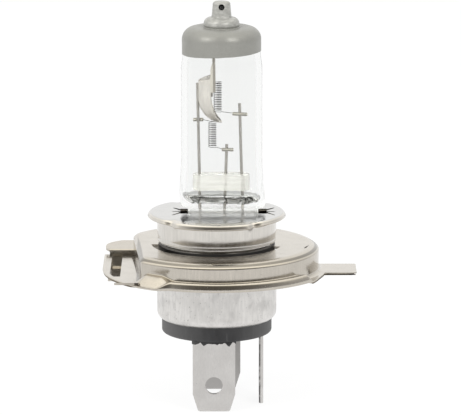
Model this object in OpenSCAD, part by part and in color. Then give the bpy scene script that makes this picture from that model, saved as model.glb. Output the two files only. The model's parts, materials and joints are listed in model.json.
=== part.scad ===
// Twin-filament headlight bulb with a three-lug prefocus cap.
// Origin: on the cap's axis, in the plane of the reference lug's upper face.
// +Z points to the tip of the glass, +X along the wide reference lug.

/* [Glass] */
// Outside diameter of the quartz tube
tube_d = 15.3; // [14.6:0.1:15.8]
// Wall thickness of the quartz tube
tube_wall = 1.15; // [0.9:0.05:1.3]
// Sideways offset of the tube from the cap's axis
tube_x = 0.93; // [0.6:0.01:1.1]
// Height of the flat of the dome
dome_z = 46.2; // [45:0.2:48]
// Diameter of the tube where it narrows under the dome
dome_d = 14.7; // [14.4:0.1:15]
// Rounding between tube and dome
dome_round = 2.4; // [2:0.2:4.4]
// Height of the underside of the tube, where the pinch starts
foot_z = 12; // [11.8:0.1:12.4]
// Width of the flattened pinch seal
pinch_w = 13.8; // [13.4:0.1:14]
// Thickness of the flattened pinch seal
pinch_t = 4; // [3.6:0.1:4.2]
// Diameter of the collar left by the exhaust tube
collar_d = 7; // [6.4:0.1:7.4]
// Diameter of the sealed exhaust tip
tip_d = 3.7; // [3.2:0.1:4]
// Height of the top of the exhaust tip
tip_z = 51; // [50:0.2:52]
// Height of the lower edge of the opaque top coating
coat_edge_z = 41.3; // [40:0.1:43]

/* [Filaments] */
// Diameter of the tungsten wire as it is drawn
wire_d = 0.22; // [0.18:0.01:0.24]
// Outside diameter of both coils
coil_d = 1.6; // [1.4:0.05:1.7]
// Turns in the dipped-beam coil
dipped_turns = 17; // [12:1:18]
// Turns in the main-beam coil
main_turns = 15; // [11:1:16]
// Diameter of the molybdenum lead posts
post_d = 0.55; // [0.45:0.05:0.6]
// Height of the top edge of the dipped-beam shield
shield_top = 36.7; // [36:0.1:37.4]

/* [Cap] */
// Diameter of the prefocus ring over its lip
lip_d = 43.2; // [42.8:0.1:43.6]
// Diameter of the prefocus ring's skirt
skirt_d = 38.6; // [38:0.1:39]
// Height of the ring's plate above the lug plane
plate_z = 4.8; // [4.4:0.1:5]
// Thickness of the ring's sheet
ring_t = 0.5; // [0.4:0.05:0.6]
// Radius of the circle that the lug ends lie on
lug_r = 26.4; // [26:0.1:26.8]
// Width of the reference lug
wide_lug_w = 8; // [7.6:0.1:8.4]
// Width of the two side lugs
side_lug_w = 6; // [5:0.1:6.4]
// Angle of the side lug behind the flat from the reference lug
back_lug_angle = 136; // [134:1:138]
// Angle of the side lug in front of the flat from the reference lug
front_lug_angle = 132; // [130:1:136]
// Diameter of the holder cup's rim
rim_d = 26.1; // [25.6:0.1:26.6]
// Height of the holder cup's flat top
cup_z = 11; // [10.8:0.1:11.2]
// Outside diameter of the cup's wall and of the base sleeve
sleeve_d = 22.6; // [22.4:0.1:22.8]
// Depth of the base sleeve below the lug plane
sleeve_depth = 9.5; // [9.2:0.1:10]
// Thickness of the cup's and the sleeve's sheet
sheet_t = 0.4; // [0.3:0.05:0.45]

/* [Base] */
// Diameter of the part of the insulator that shows
insulator_d = 20.8; // [20.4:0.1:20.8]
// Depth of the insulator's underside below the lug plane
insulator_depth = 12.1; // [11.8:0.1:12.4]
// Depth of the blade ends below the lug plane
blade_depth = 25.7; // [24.6:0.1:26.4]
// Width of a terminal blade
blade_w = 8; // [7.6:0.1:8.2]
// Thickness of a terminal blade
blade_t = 0.8; // [0.6:0.05:0.85]
// Diameter of the detent hole in each blade
detent_d = 3.3; // [2.6:0.1:3.6]
// Distance of the paired blades from the axis
pair_y = 8.7; // [8.4:0.05:8.8]
// Distance of the single blade from the axis
single_x = 8.4; // [8.2:0.05:8.6]

/* [Hidden] */
$fn = 72;

// Small distances
gap = 0.02;
cut = 1;

// Glass
tube_r = tube_d / 2;
bore_r = tube_r - tube_wall;
dome_r = dome_d / 2;
neck_z = [coat_edge_z - 3, coat_edge_z - 0.6];
flare = 0.45;
flare_z = 13.8;
shoulder_round = 1.4;
flare_top_z = 20;
cavity_foot_z = 13.6;
cavity_round = 2.6;
pinch_foot_z = 4.8;
coat_t = 0.12;
coat_tilt = 2.7;
collar_r = collar_d / 2;
collar_round = 1.5;
collar_z = dome_z + 1.7;
tip_taper = 0.2;
tip_dimple_d = 0.9;

// Lead posts, foils and leads: [x at the top, z of the top, x in the pinch]
common_axis = [-3.62, 35.6, -3.05];
dipped_axis = [4.3, 31.7, 4.95];
main_axis = [1.9, 23.9, 1.4];
seal_z = 9.6;
foil_w = 2.2;
foil_t = 0.1;
foil_foot_z = 6;
lead_d = 0.7;

// Clamps that hold the filament tails: [left x, right x, y, z]
clamp_d = 0.58;
clamp_y = (post_d + clamp_d) / 2;
common_bar = [-4.5, -2.5, clamp_y, 28.5];
dipped_bar = [2.95, 5.75, -clamp_y, 29.75];
main_bar = [0.95, 3.15, -clamp_y, 22.95];

// Spacer bead that bridges the posts
spacer_x = 0.85;
spacer_w = 10.7;
spacer_depth = 3.6;
spacer_z = 15.2;
spacer_h = 3;

// Coils: [x of the axis, z of the top, z of the bottom]
coil_r = (coil_d - wire_d) / 2;
dipped_coil = [0.2, 35.75, 30.15];
main_coil = [-0.8, 28.15, 23.3];
coil_steps = 12;
wire_sides = 6;

// Dipped-beam shield
beak = [1.05, 28.2];
shield_back_x = -3.28;
shield_rim_x = -1.05;
shield_half_w = 2.5;
shield_t = 0.2;
shield_turn_z = 33;
shield_dip = 0.6;
shield_rows = 14;
shield_cols = 16;
strip_x = [-1.25, -0.15];
strip_z = [33.8, 39.2, 40.4];

// Holder cup
cup_r = sleeve_d / 2;
rim_r = rim_d / 2;
hem = 1.2;
cup_foot_z = 5.2;
cup_foot_round = 0.8;
spigot_r = 10.5;
spigot_foot_z = 2;
slot_gap = 0.3;
slit_w = 0.4;
slit_l = 2.1;
clip_wall = 0.4;

// Prefocus ring
skirt_r = skirt_d / 2;
lip_r = lip_d / 2;
plate_round = 1.1;
lip_fillet = 0.9;
neck_r = 11;
neck_hole_r = neck_r + gap;
window_r = 13.7;
window_from = 173;
window_to = 343;
flat_dist = 15.2;
flat_tilt = 4.4;
flat_half = sqrt(skirt_r * skirt_r - flat_dist * flat_dist);
bead_h = 1.5;
bead_from = 36;
bead_to = 118;
slot_x = [-19.9, -18];
slot_half = 9;
slot_circle_r = lip_r - 1;
tongue_r = 26;
tongue_drop = 1.7;
step_y = 13.8;
step_h = 0.9;
lug_tilt = 12;

// Base sleeve, curled in under the insulator's flange, and insulator
insulator_r = insulator_d / 2;
sleeve_round = 1.6;
sleeve_curl = acos((insulator_r + gap - cup_r + sleeve_round) / sleeve_round);
seat_z = sleeve_depth - 1;
insulator_round = 0.6;
insulator_top = 5.5;
lead_foot_z = -4.9;

// Blades, pressed a little thinner at the root
root_t = blade_t - 0.1;
tab_top_z = -insulator_depth - 0.1;
shank_w = 5;
shank_top = 4.4;
blade_shoulder = 10.4;
blade_taper_h = 3.4;
blade_taper = 0.9;
blade_bevel = 0.22;
detent_rise = 5.05;
pair_x = 0.5;
solder_r = 0.9;

// Points along an arc, centre c, radius r, from angle a to angle b
function arc(c, r, a, b, n = 8) =
    [for (i = [0 : n]) c + r * [cos(a + (b - a) * i / n), sin(a + (b - a) * i / n)]];

function unit(v) = v / norm(v);

// Cross-section frame of a swept wire that never runs straight up
function across(t) = unit(cross(t, [0, 0, 1]));
function ring_at(p, t, r, n) =
    let (s = across(t), u = cross(s, t))
    [for (k = [0 : n - 1]) p + r * (cos(360 * k / n) * s + sin(360 * k / n) * u)];

// A round wire swept along a path of points
module wire(path, d, n) {
    m = len(path);
    rings = [for (i = [0 : m - 1])
        ring_at(path[i], unit(path[min(i + 1, m - 1)] - path[max(i - 1, 0)]), d / 2, n)];
    points = [for (r = rings) each r];
    sides = [for (i = [0 : m - 2], k = [0 : n - 1])
        let (a = i * n + k, b = i * n + (k + 1) % n)
        each [[a, b, a + n], [b, b + n, a + n]]];
    first = [for (k = [n - 1 : -1 : 0]) k];
    last = [for (k = [0 : n - 1]) (m - 1) * n + k];
    polyhedron(points, concat([first], sides, [last]), 4);
}

// Points of a coil that runs down from its right-hand side
function coil_path(c, turns) =
    [for (i = [0 : turns * coil_steps])
        let (a = 360 * i / coil_steps)
        [c[0] + coil_r * cos(a), coil_r * sin(a),
         c[1] + (c[2] - c[1]) * i / (turns * coil_steps)]];

// A straight rod between two points
module rod(a, b, d) {
    v = b - a;
    translate(a)
        rotate([0, acos(v[2] / norm(v)), atan2(v[1], v[0])])
            cylinder(h = norm(v), d = d);
}

module post(axis) {
    rod([axis[2], 0, seal_z], [axis[0], 0, axis[1]], post_d);
}

module foil(axis) {
    translate([axis[2] - foil_w / 2, -foil_t / 2, foil_foot_z])
        cube([foil_w, foil_t, seal_z - foil_foot_z]);
}

module clamp_bar(bar) {
    rod([bar[0], bar[2], bar[3]], [bar[1], bar[2], bar[3]], clamp_d);
}

// Everything that is sealed into the pinch
module sealed_metal() {
    for (axis = [common_axis, dipped_axis, main_axis]) {
        post(axis);
        foil(axis);
        translate([axis[2], 0, pinch_foot_z - cut])
            cylinder(h = foil_foot_z - pinch_foot_z + cut, d = lead_d);
    }
}

// Outline of the glass, from its axis at the foot round to its axis at the tip
function glass_outline(grow) = concat(
    [[0, foot_z]],
    arc([tube_r + flare - shoulder_round, foot_z + shoulder_round], shoulder_round, -90, 0),
    [[tube_r + flare, flare_z], [tube_r, flare_top_z], [tube_r, neck_z[0]], [dome_r, neck_z[1]]],
    dome_outline(grow));

function dome_outline(grow) = concat(
    arc([dome_r - dome_round, dome_z - dome_round], dome_round + grow, 0, 90),
    [[collar_r - 0.15 + grow, dome_z + grow]],
    arc([collar_r - collar_round, dome_z + 0.1], collar_round + grow, 6, 78),
    [[tip_d / 2 + grow, collar_z + grow], [tip_d / 2 - tip_taper + grow, tip_z - 0.6 - coat_t]],
    arc([tip_d / 2 - tip_taper - 0.6, tip_z - 0.6 - coat_t], 0.6 + grow, 10, 90),
    [[0, tip_z - coat_t + grow]]);

function cavity_outline() = concat(
    [[0, cavity_foot_z]],
    arc([bore_r - cavity_round, cavity_foot_z + cavity_round], cavity_round, -90, 0),
    [[bore_r, neck_z[0]]],
    arc([dome_r - dome_round, dome_z - dome_round], dome_round - tube_wall, 0, 90),
    [[0, dome_z - tube_wall]]);

// Tilted dimple where the exhaust tube was drawn off
module tip_dimple() {
    translate([0, -tip_d / 2 - 0.2, tip_z - 0.9])
        rotate([-70, 0, 0])
            cylinder(h = 0.7, d = tip_dimple_d);
}

module glass_envelope() {
    color("lavender", 0.35)
        difference() {
            translate([tube_x, 0, 0])
                difference() {
                    union() {
                        rotate_extrude()
                            polygon(glass_outline(0));
                        translate([-pinch_w / 2, -pinch_t / 2, pinch_foot_z])
                            cube([pinch_w, pinch_t, foot_z - pinch_foot_z + 0.4]);
                    }
                    rotate_extrude()
                        polygon(cavity_outline());
                    tip_dimple();
                }
            sealed_metal();
        }
}

// Fired-on opaque layer over the dome and tip
module top_coating() {
    color("darkgray")
        translate([tube_x, 0, 0])
            difference() {
                rotate_extrude()
                    polygon(concat(
                        [[0, neck_z[1]], [dome_r + coat_t, neck_z[1]]],
                        dome_outline(coat_t)));
                rotate_extrude()
                    polygon(concat(
                        [[0, neck_z[0]], [dome_r, neck_z[0]]],
                        dome_outline(0)));
                translate([0, 0, coat_edge_z])
                    rotate([0, -coat_tilt, 0])
                        translate([-tube_d, -tube_d, -tube_d])
                            cube([2 * tube_d, 2 * tube_d, tube_d]);
                tip_dimple();
            }
}

module dipped_filament() {
    c = dipped_coil;
    color("dimgray")
        wire(concat(
            [[strip_x[1], -shield_half_w + 0.05, c[1] + 0.1]],
            coil_path(c, dipped_turns),
            [[dipped_bar[0], dipped_bar[2], dipped_bar[3]]]), wire_d, wire_sides);
}

module main_filament() {
    c = main_coil;
    color("dimgray")
        wire(concat(
            [[common_bar[1], common_bar[2], common_bar[3]]],
            coil_path(c, main_turns),
            [[main_bar[0], main_bar[2], main_bar[3]]]), wire_d, wire_sides);
}

// Section of the shield at height z: [x of the back, x of the rim, half width]
function shield_drop(z, b) = max(0, (shield_turn_z - z) / (shield_turn_z - b));
function shield_back(z, b, x) = beak[0] - (beak[0] - x) * sqrt(1 - pow(shield_drop(z, b), 2));
function shield_rim(z) =
    beak[0] - (beak[0] - shield_rim_x) * (1 - pow(shield_drop(z, beak[1]), 1.6));
function shield_half(z, b, w) = w * sqrt(1 - pow(shield_drop(z, b), 2));

// Rows of points of one face of the shield, t inside the outer face
function shield_face(t) =
    let (b = beak[1] + t * 0.4)
    [for (i = [0 : shield_rows])
        [for (j = [0 : shield_cols])
            let (
                a = -90 + 180 * j / shield_cols,
                top = shield_top - shield_dip * cos(a),
                z = b + 0.04 + (top - b - 0.04) * pow(i / shield_rows, 1.5),
                back = shield_back(z, b, shield_back_x + t),
                rim = shield_rim(z)
            )
            [rim - (rim - back) * cos(a), shield_half(z, b, shield_half_w - t) * sin(a), z]]];

module dipped_beam_shield() {
    outer = shield_face(0);
    inner = shield_face(shield_t);
    rows = shield_rows + 1;
    cols = shield_cols + 1;
    layer = rows * cols;
    faces = concat(
        [for (i = [0 : rows - 2], j = [0 : cols - 2])
            let (a = i * cols + j)
            each [[a, a + 1, a + cols], [a + 1, a + cols + 1, a + cols]]],
        [for (i = [0 : rows - 2], j = [0 : cols - 2])
            let (a = layer + i * cols + j)
            each [[a, a + cols, a + 1], [a + 1, a + cols, a + cols + 1]]],
        [for (j = [0 : cols - 2], i = [0, rows - 1])
            let (a = i * cols + j, b = a + layer)
            each (i == 0 ? [[a, b, a + 1], [a + 1, b, b + 1]] : [[a, a + 1, b], [a + 1, b + 1, b]])],
        [for (i = [0 : rows - 2], j = [0, cols - 1])
            let (a = i * cols + j, b = a + layer, c = a + cols, d = b + cols)
            each (j == 0 ? [[a, c, b], [c, d, b]] : [[a, b, c], [c, b, d]])]);
    color("lightgray")
        polyhedron([for (f = [outer, inner], r = f) each r], faces, 4);
}

// Strip along the shield's near rim that carries the upper end of the dipped coil
module dipped_coil_strip() {
    color("silver")
        translate([0, -shield_half_w - gap, 0])
            rotate([90, 0, 0])
                linear_extrude(shield_t)
                    polygon([
                        [strip_x[0], strip_z[0]], [strip_x[1], strip_z[0]],
                        [strip_x[1], strip_z[1]], [strip_x[1] - 0.3, strip_z[2]],
                        [strip_x[0] + 0.35, strip_z[1]], [strip_x[0], strip_z[1] - 1.6]]);
}

module common_post() {
    color("gray") post(common_axis);
}

module dipped_post() {
    color("gray") post(dipped_axis);
}

module main_post() {
    color("gray") post(main_axis);
}

module common_clamp() {
    color("darkkhaki") clamp_bar(common_bar);
}

module dipped_clamp() {
    color("darkkhaki") clamp_bar(dipped_bar);
}

module main_clamp() {
    color("darkkhaki") clamp_bar(main_bar);
}

module post_spacer() {
    color("gainsboro")
        difference() {
            translate([spacer_x, 0, spacer_z]) {
                for (side = [-1, 1])
                    translate([side * (spacer_w - spacer_depth) / 2, 0, 0])
                        cylinder(h = spacer_h, d = spacer_depth);
                translate([-(spacer_w - spacer_depth) / 2, -spacer_depth / 2, 0])
                    cube([spacer_w - spacer_depth, spacer_depth, spacer_h]);
            }
            for (axis = [common_axis, dipped_axis, main_axis])
                post(axis);
        }
}

module common_foil() {
    color("slategray") foil(common_axis);
}

module dipped_foil() {
    color("slategray") foil(dipped_axis);
}

module main_foil() {
    color("slategray") foil(main_axis);
}

// Lead from the foil down to the solder joint on its blade
module lead(axis, blade) {
    top = [axis[2], 0, foil_foot_z];
    bend = [axis[2], 0, pinch_foot_z - 1];
    foot = [blade[0], blade[1], lead_foot_z + solder_r];
    rod(bend, top, lead_d);
    translate(bend)
        sphere(d = 1.1 * lead_d);
    rod(bend, foot, lead_d);
}

// Places beside the three blades where the leads are soldered
common_joint = [0, pair_y - root_t / 2 - solder_r, lead_foot_z];
dipped_joint = [single_x - root_t / 2 - solder_r, 0, lead_foot_z];
main_joint = [0, -pair_y + root_t / 2 + solder_r, lead_foot_z];

module common_lead() {
    color("peru") lead(common_axis, common_joint);
}

module dipped_lead() {
    color("peru") lead(dipped_axis, dipped_joint);
}

module main_lead() {
    color("peru") lead(main_axis, main_joint);
}

module solder_joints() {
    color("lightslategray")
        for (p = [common_joint, dipped_joint, main_joint])
            translate([p[0], p[1], -insulator_top])
                cylinder(h = lead_foot_z + insulator_top + solder_r, r = solder_r);
}

// Spring collar that grips the pinch inside the holder cup
module pinch_clip() {
    top = cup_z - 2 * sheet_t - gap;
    color("silver")
        difference() {
            union() {
                translate([0, 0, top - sheet_t])
                    cylinder(h = sheet_t + gap / 2, r = cup_r - sheet_t - 0.2);
                translate([tube_x - pinch_w / 2 - clip_wall, -pinch_t / 2 - clip_wall, cup_foot_z])
                    cube([pinch_w + 2 * clip_wall, pinch_t + 2 * clip_wall, top - cup_foot_z]);
            }
            translate([tube_x - pinch_w / 2 - gap, -pinch_t / 2 - gap, cup_foot_z - cut])
                cube([pinch_w + 2 * gap, pinch_t + 2 * gap, cup_z]);
        }
}

// Slits that let the cup's top spring against the ends of the pinch
module star_slits() {
    for (side = [-1, 1])
        translate([tube_x + side * (pinch_w / 2 + slot_gap), 0, cup_z - hem - cut])
            for (a = [-26, 26])
                rotate([0, 0, a + (side < 0 ? 180 : 0)])
                    translate([-0.2, -slit_w / 2, 0])
                        cube([slit_l, slit_w, hem + 2 * cut]);
}

module holder_cup() {
    color("gainsboro")
        difference() {
            rotate_extrude()
                polygon(concat(
                    [[0, cup_z]],
                    arc([rim_r - hem / 2, cup_z - hem / 2], hem / 2, 90, -90, 10),
                    [[cup_r, cup_z - hem]],
                    arc([cup_r - cup_foot_round, cup_foot_z + cup_foot_round],
                        cup_foot_round, 0, -90),
                    [[spigot_r, cup_foot_z], [spigot_r, spigot_foot_z],
                     [spigot_r - sheet_t, spigot_foot_z], [spigot_r - sheet_t, cup_foot_z + sheet_t],
                     [cup_r - sheet_t, cup_foot_z + cup_foot_round + sheet_t],
                     [cup_r - sheet_t, cup_z - 2 * sheet_t], [0, cup_z - 2 * sheet_t]]));
            translate([tube_x - pinch_w / 2 - slot_gap, -pinch_t / 2 - slot_gap, cup_z - hem - cut])
                cube([pinch_w + 2 * slot_gap, pinch_t + 2 * slot_gap, hem + 2 * cut]);
            star_slits();
        }
}

// Plate, skirt and flat lip of the prefocus ring, as one bent sheet
function ring_outline() = concat(
    [[neck_hole_r, plate_z - ring_t], [neck_hole_r, plate_z]],
    arc([skirt_r - plate_round, plate_z - plate_round], plate_round, 90, 0),
    arc([skirt_r + lip_fillet, lip_fillet], lip_fillet, 180, 270),
    arc([lip_r - ring_t / 2, -ring_t / 2], ring_t / 2, 90, -90, 6),
    arc([skirt_r + lip_fillet, lip_fillet], lip_fillet + ring_t, 270, 180),
    arc([skirt_r - plate_round, plate_z - plate_round], plate_round - ring_t, 0, 90));

// Stiffening bead rolled into the lip between the lugs
function bead_outline() = concat(
    [[skirt_r - ring_t, 0], [skirt_r - ring_t, bead_h + 0.7]],
    arc([skirt_r + 0.5, bead_h + 0.5], 0.5, 180, 270, 4),
    arc([lip_r - 0.7, bead_h - 0.7], 0.7, 90, 0, 6),
    [[lip_r, 0], [lip_r - ring_t / 2, -ring_t / 2]]);

// A quarter-round edge along the top of the flat
module flat_wall() {
    rotate([0, 0, flat_tilt]) {
        translate([-flat_dist, -flat_half, -ring_t])
            cube([ring_t, 2 * flat_half, plate_z + ring_t - plate_round / 2]);
        translate([-flat_dist + plate_round / 2, -flat_half, plate_z - plate_round / 2])
            rotate([-90, 0, 0])
                cylinder(h = 2 * flat_half, r = plate_round / 2);
    }
}

module beyond_flat(z, h) {
    rotate([0, 0, flat_tilt])
        translate([-flat_dist - lip_d, -lip_d, z])
            cube([lip_d, 2 * lip_d, h]);
}

// Annular lip outside the flat, with its long slot and the tongue under it
module flat_shelf() {
    difference() {
        intersection() {
            translate([0, 0, -ring_t])
                cylinder(h = ring_t, r = lip_r);
            beyond_flat(-ring_t, ring_t);
        }
        intersection() {
            translate([slot_x[0], -slot_half, -ring_t - cut])
                cube([slot_x[1] - slot_x[0], 2 * slot_half, ring_t + 2 * cut]);
            translate([0, 0, -ring_t - cut])
                cylinder(h = ring_t + 2 * cut, r = slot_circle_r);
        }
    }
    intersection() {
        translate([slot_x[0], 0, tongue_r - tongue_drop - ring_t])
            rotate([0, 90, 0])
                difference() {
                    cylinder(h = slot_x[1] - slot_x[0] + 0.2, r = tongue_r);
                    translate([0, 0, -cut])
                        cylinder(h = slot_x[1] - slot_x[0] + 2 * cut, r = tongue_r - ring_t);
                }
        translate([slot_x[0], -slot_half - 0.5, -tongue_drop - 2 * ring_t])
            cube([slot_x[1] - slot_x[0] + 0.2, 2 * slot_half + 1, tongue_drop + 2 * ring_t]);
    }
}

module wide_lug() {
    translate([lip_r - 1, -wide_lug_w / 2, -ring_t])
        cube([lug_r - lip_r + 1, wide_lug_w, ring_t]);
}

// Side lug behind the flat, stepped up from the lip
module back_lug() {
    intersection() {
        rotate([0, 0, back_lug_angle])
            translate([skirt_r - 1, -side_lug_w / 2, -ring_t])
                cube([lug_r - skirt_r + 1, side_lug_w, step_h + ring_t]);
        translate([-lug_r, 0, 0])
            rotate([90, 0, 90])
                linear_extrude(lug_r)
                    polygon([
                        [step_y, -ring_t], [step_y + ring_t, -ring_t],
                        [step_y + ring_t, step_h - ring_t], [lug_r, step_h - ring_t],
                        [lug_r, step_h], [step_y, step_h]]);
    }
}

// Side lug in front of the flat, bent up towards its end
module front_lug() {
    translate([0, -step_y, -ring_t])
        rotate([-lug_tilt, 0, 0])
            translate([0, step_y, 0])
                rotate([0, 0, -front_lug_angle])
                    translate([skirt_r - 0.2, -side_lug_w / 2, 0])
                        cube([lug_r - skirt_r + 0.2, side_lug_w, ring_t]);
}

module prefocus_ring() {
    color("silver") {
        difference() {
            union() {
                difference() {
                    rotate_extrude()
                        polygon(ring_outline());
                    beyond_flat(-2 * ring_t, plate_z + 4 * ring_t);
                }
                flat_wall();
                flat_shelf();
                for (a = [bead_from, -bead_to])
                    rotate([0, 0, a])
                        rotate_extrude(angle = bead_to - bead_from)
                            polygon(bead_outline());
                wide_lug();
                back_lug();
                front_lug();
            }
            intersection() {
                translate([0, 0, plate_z - ring_t - cut])
                    cylinder(h = ring_t + 2 * cut, r = window_r);
                linear_extrude(plate_z + cut)
                    polygon([[0, 0],
                        2 * window_r * [cos(window_from), sin(window_from)],
                        2 * window_r * [cos((window_from + window_to) / 2),
                            sin((window_from + window_to) / 2)],
                        2 * window_r * [cos(window_to), sin(window_to)]]);
            }
        }
    }
}

// Sleeve under the ring, with a narrower neck that the cup's spigot fits into
module base_sleeve() {
    color("lightgray")
        rotate_extrude()
            polygon(concat(
                arc([cup_r - sleeve_round, -sleeve_depth + sleeve_round], sleeve_round,
                    -sleeve_curl, 0),
                [[cup_r, 0.6], [neck_r, 1.2], [neck_r, cup_foot_z - 0.3],
                 [spigot_r + gap, cup_foot_z - 0.3], [spigot_r + gap, 0.6],
                 [cup_r - sheet_t, 0], [cup_r - sheet_t, -seat_z + gap],
                 [insulator_r + gap, -seat_z + gap]]));
}

module insulator() {
    color("dimgray")
        difference() {
            rotate_extrude()
                polygon(concat(
                    [[0, -insulator_depth]],
                    arc([insulator_r - insulator_round, -insulator_depth + insulator_round],
                        insulator_round, -90, 0),
                    [[insulator_r, -seat_z + 2 * gap], [cup_r - sheet_t - gap, -seat_z + 2 * gap],
                     [cup_r - sheet_t - gap, -insulator_top], [0, -insulator_top]]));
            blade_set(0);
        }
}

// Flat sheet of thickness t, upright, with its thickness along Y
module upright(t) {
    rotate([90, 0, 0])
        translate([0, 0, -t / 2])
            linear_extrude(t)
                children();
}

// One blade, upright, centred on its width, with its root inside the insulator
module blade(hole) {
    w = blade_w / 2;
    difference() {
        union() {
            upright(blade_t)
                polygon(concat(
                    [[-w, tab_top_z], [-w, -blade_depth + blade_taper_h]],
                    arc([-w + blade_taper + 0.6, -blade_depth + 0.6], 0.6, 197, 270, 4),
                    arc([w - blade_taper - 0.6, -blade_depth + 0.6], 0.6, 270, 343, 4),
                    [[w, -blade_depth + blade_taper_h], [w, tab_top_z]]));
            upright(root_t)
                polygon([
                    [-w, tab_top_z - gap], [w, tab_top_z - gap], [w, -blade_shoulder],
                    [shank_w / 2, -blade_shoulder], [shank_w / 2, -shank_top],
                    [-shank_w / 2, -shank_top], [-shank_w / 2, -blade_shoulder],
                    [-w, -blade_shoulder]]);
        }
        if (hole > 0) {
            translate([0, 0, -blade_depth + detent_rise])
                rotate([90, 0, 0])
                    cylinder(h = blade_t + 2 * cut, r = hole, center = true);
            for (side = [-1, 1])
                translate([0, side * blade_t / 2, -blade_depth])
                    rotate([45, 0, 0])
                        cube([blade_w + cut, blade_bevel * 1.5, blade_bevel * 1.5], center = true);
        }
    }
}

module place_common() {
    translate([pair_x, pair_y, 0]) children();
}

module place_main() {
    translate([-pair_x, -pair_y, 0]) children();
}

module place_dipped() {
    translate([single_x, 0, 0]) rotate([0, 0, 90]) children();
}

module blade_set(hole) {
    place_common() blade(hole);
    place_dipped() blade(hole);
    place_main() blade(hole);
}

module common_blade() {
    color("darkgray") place_common() blade(detent_d / 2);
}

module dipped_blade() {
    color("darkgray") place_dipped() blade(detent_d / 2);
}

module main_blade() {
    color("darkgray") place_main() blade(detent_d / 2);
}

glass_envelope();
top_coating();
dipped_filament();
main_filament();
dipped_beam_shield();
dipped_coil_strip();
common_post();
dipped_post();
main_post();
common_clamp();
dipped_clamp();
main_clamp();
post_spacer();
common_foil();
dipped_foil();
main_foil();
common_lead();
dipped_lead();
main_lead();
pinch_clip();
holder_cup();
prefocus_ring();
base_sleeve();
insulator();
common_blade();
dipped_blade();
main_blade();
solder_joints();
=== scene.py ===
"""Looks of a twin-filament headlight bulb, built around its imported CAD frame.

Sizes are in millimetres in the CAD frame and become metres when a mesh is made.
+Z points to the tip of the glass, and the camera looks along +Y.
"""
import json
import math

import bmesh
import bpy
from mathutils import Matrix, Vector, noise


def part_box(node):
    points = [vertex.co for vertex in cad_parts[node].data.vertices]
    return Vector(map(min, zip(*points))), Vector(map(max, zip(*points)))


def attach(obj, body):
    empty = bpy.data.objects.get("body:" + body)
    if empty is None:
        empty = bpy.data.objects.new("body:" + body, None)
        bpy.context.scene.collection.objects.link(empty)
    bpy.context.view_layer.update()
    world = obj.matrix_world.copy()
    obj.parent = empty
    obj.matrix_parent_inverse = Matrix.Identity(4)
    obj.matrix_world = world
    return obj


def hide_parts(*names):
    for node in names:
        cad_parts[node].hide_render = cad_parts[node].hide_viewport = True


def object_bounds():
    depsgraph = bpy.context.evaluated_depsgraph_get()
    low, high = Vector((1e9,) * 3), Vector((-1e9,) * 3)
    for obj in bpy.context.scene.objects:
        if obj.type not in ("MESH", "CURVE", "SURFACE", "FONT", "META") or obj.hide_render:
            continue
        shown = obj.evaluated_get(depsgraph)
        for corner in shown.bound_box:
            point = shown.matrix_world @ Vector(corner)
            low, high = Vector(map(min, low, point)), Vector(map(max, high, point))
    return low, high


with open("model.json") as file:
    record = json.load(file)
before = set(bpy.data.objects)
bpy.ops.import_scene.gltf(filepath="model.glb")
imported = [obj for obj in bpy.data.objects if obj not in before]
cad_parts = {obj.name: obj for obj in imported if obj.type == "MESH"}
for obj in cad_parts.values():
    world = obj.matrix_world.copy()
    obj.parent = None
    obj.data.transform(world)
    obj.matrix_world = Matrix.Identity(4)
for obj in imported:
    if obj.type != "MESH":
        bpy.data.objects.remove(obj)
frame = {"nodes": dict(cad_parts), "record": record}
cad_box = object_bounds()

MM = 0.001
NODES = frame["nodes"]


# ---------------------------------------------------------------- small maths
def lerp(a, b, t):
    """The number a share t of the way from a to b."""
    return a + (b - a) * t


def smooth(a, b, x):
    """0 below a, 1 above b, and a smooth step between them."""
    t = min(max((x - a) / (b - a), 0.0), 1.0)
    return t * t * (3 - 2 * t)


def soft_min(a, b, k):
    """The lower of two numbers, rounded over where they differ by less than k."""
    h = max(k - abs(a - b), 0.0) / k
    return min(a, b) - h * h * k / 4


def soft_max(a, b, k):
    return -soft_min(-a, -b, k)


def spread(a, b, n):
    """n + 1 numbers from a to b."""
    return [a + (b - a) * i / n for i in range(n + 1)]


def arc(x, z, r, start, end, n):
    """Points of an arc round (x, z), angles in degrees."""
    turns = [math.radians(a) for a in spread(start, end, n)]
    return [(x + r * math.cos(a), z + r * math.sin(a)) for a in turns]


def angle_between(a, b):
    """Signed difference of two angles in degrees, from -180 to 180."""
    return (a - b + 180) % 360 - 180


def box(node):
    """Lowest and highest corner of a CAD node, in millimetres."""
    low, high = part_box(node)
    return low / MM, high / MM


# ------------------------------------------------------------------ dimensions
# glass tube, the neck under its coating, the bore and the flat pinch
GLASS_LOW, GLASS_HIGH = box("glass_envelope")
TUBE_X = (GLASS_LOW.x + GLASS_HIGH.x) / 2
TUBE_R, DOME_R = 7.65, 7.33
NECK_FROM, NECK_TO = 38.3, 41.4
WALL = 1.15
BORE_R = TUBE_R - WALL
DOME_Z, DOME_ROUND = 46.1, 2.6
PINCH_HALF = (6.65, 2.0)
PINCH_SHIFT = 0.27

# coating, collar, exhaust tip and the pit in its front
COAT, COAT_ROUND, COAT_ROWS = 0.1, 2.3, 6
COAT_EDGE_Z, COAT_TILT = 41.45, math.radians(2.7)
COAT_TOP = box("top_coating")[1].z
COLLAR_R, TIP_R, TIP_ROUND = 3.4, 1.84, 0.55
PIT, PIT_R = Vector((TUBE_X, -1.45, 50.05)), 0.58

# coils, and the spoon-shaped shield that ends in a beak
WIRE_R, COIL_R, COIL_STEPS = 0.05, 0.74, 28
DIPPED_TURNS, MAIN_TURNS = 17, 14
BEAK = (1.05, 28.2)
SHIELD_BACK, SHIELD_RIM, SHIELD_HALF = -3.28, -1.05, 2.5
SHIELD_TURN, SHIELD_TOP = 33.0, 36.7

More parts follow.
